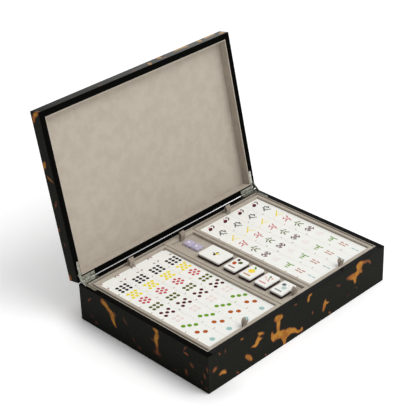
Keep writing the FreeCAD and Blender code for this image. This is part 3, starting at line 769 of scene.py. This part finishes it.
def sticks(centre, colour, middle, places):
    found = []
    for x, y, turn, *own in places:
        place = shifted(shifted((x, y), middle), centre)
        found.append(stick(marks["stickLength"], place, turn, own[0] if own else colour))
    return found


drawn = addTrayMarks("left", dotRows, dots, cornerMarks)
drawn += addTrayMarks("right", stickRows, sticks, budMarks)


# a short row of small diamonds along Y, as an ornament at the head of a display tile
def diamondRow(colour, x, y):
    return [leaf(3.8, 3.0, (x, y + step * 2.3), 0, colour) for step in (-2.5, -1.5, -0.5, 0.5, 1.5, 2.5)]


# what the display tiles show, around each one's middle
displayMarks = {
    "large_display_tile": [
        leaf(7.4, 5.0, (-2.2, 0.6), 25, rgb(26, 26, 24)),
        leaf(6.4, 3.6, (4.4, 0.2), -30, rgb(118, 124, 46)),
        leaf(5.4, 2.2, (0.4, 4.2), 70, rgb(128, 128, 116)),
        disc(5.4, (1.0, -1.0), rgb(244, 212, 30)),
        leaf(5.0, 2.1, (3.0, -4.6), -60, rgb(206, 196, 120))],
    "display_tile_1": diamondRow(rgb(152, 105, 101), -10.3, 1.2) + [
        (oval(9.8, 7.2), (0.8, 5.0), 30, rgb(188, 74, 20)),
        (oval(7.0, 5.4), (12.4, 5.4), 25, rgb(66, 8, 20)),
        leaf(8.8, 7.6, (7.6, -2.8), -35, rgb(82, 92, 24))],
    "display_tile_2": diamondRow(rgb(194, 144, 84), -10.3, 1.2) + rosette(
        8, 3.8, 5.4, 4.8, (2.2, 1.6), rgb(244, 214, 62)) + [
        disc(8.2, (2.2, 1.6), rgb(246, 220, 84)), disc(3.4, (2.2, 1.6), rgb(204, 132, 62)),
        leaf(9.4, 3.8, (12.6, 2.4), 42, rgb(92, 160, 34))],
    "display_tile_3": diamondRow(rgb(219, 141, 140), -10.3, 1.0) + [
        stick(14.0, (4.8, -0.6), 22, rgb(140, 148, 104), 1.7),
        leaf(5.8, 3.6, (10.0, 0.8), 40, rgb(104, 120, 58)),
        leaf(5.6, 3.2, (4.2, 6.2), 70, rgb(232, 176, 172)),
        leaf(5.8, 3.2, (-0.6, -2.8), 35, rgb(228, 156, 152)),
        leaf(5.6, 3.2, (7.4, -4.8), 60, rgb(230, 164, 158)),
        leaf(4.2, 2.4, (0.4, 1.8), 0, rgb(236, 192, 186))],
    "display_tile_4": diamondRow(rgb(131, 139, 130), -10.3, 1.6) + rosette(
        6, 2.8, 4.4, 3.6, (0.4, -1.6), rgb(186, 208, 206)) + [
        disc(5.2, (0.4, -1.6), rgb(176, 202, 200)), disc(7.3, (8.0, 4.4), rgb(90, 100, 106)),
        leaf(4.6, 2.6, (10.4, -3.0), 45, rgb(240, 224, 222))],
}
for node, marked in displayMarks.items():
    middle, size = middleOf(node)
    placed = [(outline, shifted(centre, middle), turn, colour) for outline, centre, turn, colour in marked]
    addMarks(displayNodes[node] + "Marks", displayNodes[node], middle[2] + size[2] / 2, placed)
    drawn += len(marked)
print("marks:", drawn)


# sizes in millimetres; a face has cells x cells points, which crowd towards its edges
dice = {"corner": 3.4, "cells": 30, "crowd": 0.86, "pipRadius": 2.1, "pipDepth": 0.5, "pipStep": 4.4,
        "faces": {"top": 1, "bottom": 6, "front": 2, "back": 5, "left": 3, "right": 4}}
pipPlaces = {
    1: [(0, 0)], 2: [(-1, -1), (1, 1)], 3: [(-1, -1), (0, 0), (1, 1)],
    4: [(-1, -1), (-1, 1), (1, -1), (1, 1)], 5: [(-1, -1), (-1, 1), (0, 0), (1, -1), (1, 1)],
    6: [(-1, -1), (-1, 0), (-1, 1), (1, -1), (1, 0), (1, 1)],
}
# outward direction of each face and the direction of its u; v is their cross product
diceFaces = {
    "top": ((0, 0, 1), (1, 0, 0)), "bottom": ((0, 0, -1), (0, 1, 0)), "front": ((0, -1, 0), (1, 0, 0)),
    "back": ((0, 1, 0), (0, 0, 1)), "left": ((-1, 0, 0), (0, 0, 1)), "right": ((1, 0, 0), (0, 1, 0)),
}


# a die: each face is a grid on the cube, whose lines sin(t * bend) / sin(bend) * half crowd towards the
# edges; a point p becomes the nearest point q of the inner box plus the corner radius along (p - q), less
# a pip's dimple depth * (1 - (d / pip radius)^2) where the distance d is under that radius
def dieShape(side):
    half, inner = side / 2, side / 2 - dice["corner"]
    bend = np.pi / 2 * dice["crowd"]
    steps = np.sin(np.linspace(-1, 1, dice["cells"]) * bend) / math.sin(bend) * half
    points, faces, pips = [], [], []
    for number, (face, (out, along)) in enumerate(diceFaces.items()):
        out, along = np.array(out, float), np.array(along, float)
        u, v = np.meshgrid(steps, steps, indexing="ij")
        raw = out * half + u[..., None] * along + v[..., None] * np.cross(out, along)
        nearest = np.clip(raw, -inner, inner)
        way = raw - nearest
        way = way / np.linalg.norm(way, axis=-1, keepdims=True)
        hollow = np.zeros(u.shape)
        for place in pipPlaces[dice["faces"][face]]:
            far = np.hypot(u - place[0] * dice["pipStep"], v - place[1] * dice["pipStep"])
            hollow = np.maximum(hollow, np.clip(1 - (far / dice["pipRadius"]) ** 2, 0, 1))
        surface = nearest + way * (dice["corner"] - dice["pipDepth"] * hollow)[..., None]
        points.append(surface.reshape(-1, 3))
        pips.append(hollow.ravel())
        quads = ringFaces(dice["cells"], dice["cells"], closed=False)
        faces += (quads[:, ::-1] + number * u.size).tolist()
    return np.concatenate(points), faces, np.concatenate(pips)


for node in ("die_back", "die_front"):
    middle, size = middleOf(node)
    shape, sides, pips = dieShape(size[0])
    addPiece(node + "Cube", shape + middle, sides, "dice", node, [node],
             attributes={"pip": ("FLOAT", "value", pips)})
print("dice: 2")


# heights are above the trays' rims, inset is from the ends of the tabs' boxes, and root is how far a tab
# goes down into its slit; the front pair of each tray is two free ends with their own sway to the right
tabs = {"width": 10.5, "thickness": 0.95, "slit": 0.75, "gap": 2.3, "splay": 3.6, "around": 14,
        "steps": 41, "fold": 1.7, "belly": 1.4, "cross": 9.0, "waist": 0.25, "roundFrom": 0.62,
        "roundTo": 0.9, "root": 3.6, "inset": 1.4, "frontHeight": 12.0, "backHeight": 14.0,
        "backLean": 0.6, "sway": {"left": 2.4, "centre": 3.0, "right": 0.6}}


# pull tab: a ribbon along a centre line of places s from 0 to 2, which changes sides at s = 1 by tanh. a
# loop climbs by r = 1 - |1 - s|^fold and opens by slit + gap * sin(pi r^belly)^2; a pair of free ends climbs
# by r = |1 - s|, opens by slit + splay * r^2, is narrower by waist * (1 - r)^2 and round over its last part.
# both lean by lean * r^2 and sway sideways by sway * r^2
def ribbonTab(height, lean, sway, free):
    share = np.linspace(0, 2, tabs["steps"])
    rise = np.abs(1 - share) if free else 1 - np.abs(1 - share) ** tabs["fold"]
    side = np.tanh((share - 1) * tabs["cross"])
    loopGap = tabs["gap"] * np.sin(np.pi * np.clip(rise, 0, 1) ** tabs["belly"]) ** 2
    y = side * (tabs["slit"] + (tabs["splay"] * rise ** 2 if free else loopGap)) + lean * rise ** 2
    z = -tabs["root"] + (height + tabs["root"] - tabs["thickness"] / 2) * rise
    path = np.stack((y, z), -1)
    forward = np.gradient(path, axis=0)
    forward = forward / np.linalg.norm(forward, axis=1, keepdims=True)
    normal = np.stack((forward[:, 1], -forward[:, 0]), -1)
    section = oval(tabs["width"], tabs["thickness"], 0.25, 0.7, tabs["around"])
    last = np.clip((rise - tabs["roundFrom"]) / (1 - tabs["roundFrom"]), 0, 1) if free else rise * 0
    narrow = np.sqrt(1 - tabs["roundTo"] * last ** 2) * (1 - tabs["waist"] * free * (1 - rise) ** 2)
    yz = path[:, None] + normal[:, None] * section[None, :, 1, None]
    x = section[:, 0] * narrow[:, None] + sway * rise[:, None] ** 2
    points = np.concatenate((x[..., None], yz), -1).reshape(-1, 3)
    end = tabs["around"] * (tabs["steps"] - 1)
    caps = [list(range(tabs["around"]))[::-1], list(range(end, end + tabs["around"]))]
    return points, ringFaces(tabs["steps"], tabs["around"]).tolist() + caps


for side, sway in tabs["sway"].items():
    body = "upper_" + side + "_tray"
    node = body + "_pull_tabs"
    low, high = (np.array(corner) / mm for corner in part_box(node))
    x, rim = (low[0] + high[0]) / 2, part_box(body + "_frame")[1].z / mm
    front, sides = ribbonTab(tabs["frontHeight"], 0.0, sway, True)
    back, sides = ribbonTab(tabs["backHeight"], tabs["backLean"], 0.0, False)
    front = front + (x, low[1] + tabs["inset"], rim)
    shape = np.concatenate((front, back + (x, high[1] - tabs["inset"], rim)))
    sides += [[corner + len(front) for corner in face] for face in sides]
    addPiece(side + "PullTabs", shape, sides, "ribbon", body, [node])
print("pull tabs:", 2 * len(tabs["sway"]))


# on each side two screws along the leaf's arm, at these reaches before the hinge axis, and two in its
# flange; baseTop and lidFace are where the heads of the base and of the shut lid start
screws = {"radius": 1.8, "middle": 0.05, "dome": 0.12, "slotHalf": 0.28, "slotReach": 1.15,
          "slotShare": 0.15, "around": 28, "rings": 9, "armX": 203.6, "armReach": (22.0, 31.5),
          "flange": ((179.5, 142.25), (190.0, 142.25)), "baseTop": 68.26, "lidFace": 68.54}


# countersunk screw head: rings of radius r with height dome * (1 - (r / R)^2), lower in a cross
def screwHead():
    radii = np.linspace(screws["radius"], screws["middle"], screws["rings"])
    turns = np.arange(screws["around"]) / screws["around"] * 2 * np.pi
    radius, turn = np.meshgrid(radii, turns, indexing="ij")
    x, y = radius * np.cos(turn), radius * np.sin(turn)
    slot = (np.minimum(np.abs(x), np.abs(y)) < screws["slotHalf"]) & (radius < screws["slotReach"])
    dome = screws["dome"] * (1 - (radius / screws["radius"]) ** 2)
    points = np.stack((x, y, dome * np.where(slot, screws["slotShare"], 1.0)), -1).reshape(-1, 3)
    last = screws["around"] * (screws["rings"] - 1)
    faces = ringFaces(screws["rings"], screws["around"]).tolist()
    return points, faces + [list(range(last, last + screws["around"]))]


headPoints, headFaces = screwHead()
axisY, axisZ = lidTurn["axisY"] / mm, lidTurn["axisZ"] / mm
oneSide = [(screws["armX"], axisY - reach) for reach in screws["armReach"]] + list(screws["flange"])
screwPlaces = [(side * x, y, 0.0) for side in (-1, 1) for x, y in oneSide]
heads, headSides = copies(headPoints, headFaces, screwPlaces)
addPiece("baseScrews", heads + (0, 0, screws["baseTop"]), headSides, "nickel", "base")
# the lid's heads face down when it is shut; turned with the lid about the hinge axis
closed = heads * (1, 1, -1) + (0, -axisY, screws["lidFace"] - axisZ)
turned = np.array(Matrix.Rotation(math.radians(-lidTurn["angle"]), 3, "X"))
opened = closed @ turned.T + (0, axisY, axisZ)
addPiece("lidScrews", opened, [side[::-1] for side in headSides], "nickel", "lid")
print("screws:", 2 * len(screwPlaces))


# floor in metres, a hair under the case's feet; its glow weakens near the case to dim as a painted
# shadow, from so far outside its outline, and comes back between two places from left to right, in
# millimetres
ground = {"half": 30.0, "under": 0.0002, "colour": 0.97, "glow": 0.21, "dim": 0.1,
          "paintedShadowFade": (-15.0, 50.0), "back": (-215.0, -140.0)}


# a faint glow, so that the floor is white where no shadow lies; on the left a painted shadow weakens it
# towards the case with the distance outside its outline, hypot(max(|x| - half width, 0), max(|y| - half
# depth, 0))
def floorGlow(start):
    x, y, z = objectPlace(start).parts()
    pastX = (abs(x) - case["halfWidth"] * mm).highest(0)
    pastY = (abs(y) - case["halfDepth"] * mm).highest(0)
    distance = start.math("SQRT", pastX * pastX + pastY * pastY)
    paintedShadowFade, back = ((low * mm, high * mm) for low, high in (ground["paintedShadowFade"], ground["back"]))
    # painted shadow: the glow is dimmer near the case on its left
    glow = distance.ramp(*paintedShadowFade).highest(x.ramp(*back))
    return {"Emission Color": start.mix(glow, (ground["dim"],) * 3, (1.0, 1.0, 1.0))}


floorSkin = {"Base Color": (*[ground["colour"]] * 3, 1), "Roughness": 1.0, "Specular IOR Level": 0.0,
             "Emission Strength": ground["glow"]}
corners = [(x * ground["half"], y * ground["half"], -ground["under"])
           for x, y in ((-1, -1), (1, -1), (1, 1), (-1, 1))]
floorMesh = bpy.data.meshes.new("floor")
floorMesh.from_pydata(corners, [], [(0, 1, 2, 3)])
floorMesh.materials.append(newMaterial("floor", floorSkin, floorGlow))
floor = bpy.data.objects.new("floor", floorMesh)
bpy.context.scene.collection.objects.link(floor)
print("floor: 1")

# one broad lamp from the right and above, in metres and watts; direction is from the case towards it
keyLamp = {"direction": (0.225, -0.558, 1.0), "distance": 6.0, "size": 3.65, "power": 138.0,
           "aim": (0, 0, 0.08)}


def addLamp(name, settings):
    lamp = bpy.data.lights.new(name, "AREA")
    lamp.shape, lamp.size, lamp.energy = "DISK", settings["size"], settings["power"]
    holder = bpy.data.objects.new(name, lamp)
    way = Vector(settings["direction"]).normalized()
    holder.rotation_euler = way.to_track_quat("Z", "Y").to_euler()
    holder.location = Vector(settings["aim"]) + way * settings["distance"]
    bpy.context.scene.collection.objects.link(holder)


addLamp("key", keyLamp)

# how the sky's light grows to the right, towards the back and upwards, what it is level, and its strength;
# reflections see it darker by dim between these heights
sky = {"right": 0.85, "behind": -0.35, "up": 0.36, "level": 0.76, "strength": 0.69, "dim": 0.7,
       "dimAt": (0.16, 0.5)}


# sky: white to the camera, darker overhead to reflections, and brighter from the right and the front to
# diffuse light, as strength * (right x + behind y + up z + level) of the direction's parts
def addSky():
    world = bpy.data.worlds.new("sky")
    bpy.context.scene.world = world
    world.use_nodes = True
    tree = world.node_tree
    start = Socket(tree)
    camera, glossy, clear = (start.node("LightPath", out="Is " + kind + " Ray")
                             for kind in ("Camera", "Glossy", "Transmission"))
    x, y, z = start.node("TexCoord", out="Generated").parts()
    shine = 1.0 - z.ramp(*sky["dimAt"]) * sky["dim"]
    slope = x * sky["right"] + y * sky["behind"] + z * sky["up"] + sky["level"]
    diffuse = (slope * sky["strength"]).highest(0)
    white = camera.highest(clear)
    strength = white + (1 - white) * (glossy * shine + (1 - glossy) * diffuse)
    tree.nodes["Background"].inputs["Color"].default_value = (1, 1, 1, 1)
    tree.links.new(strength.socket, tree.nodes["Background"].inputs["Strength"])


addSky()
bpy.context.scene.view_settings.view_transform = "Standard"
print("lamp and sky: placed")
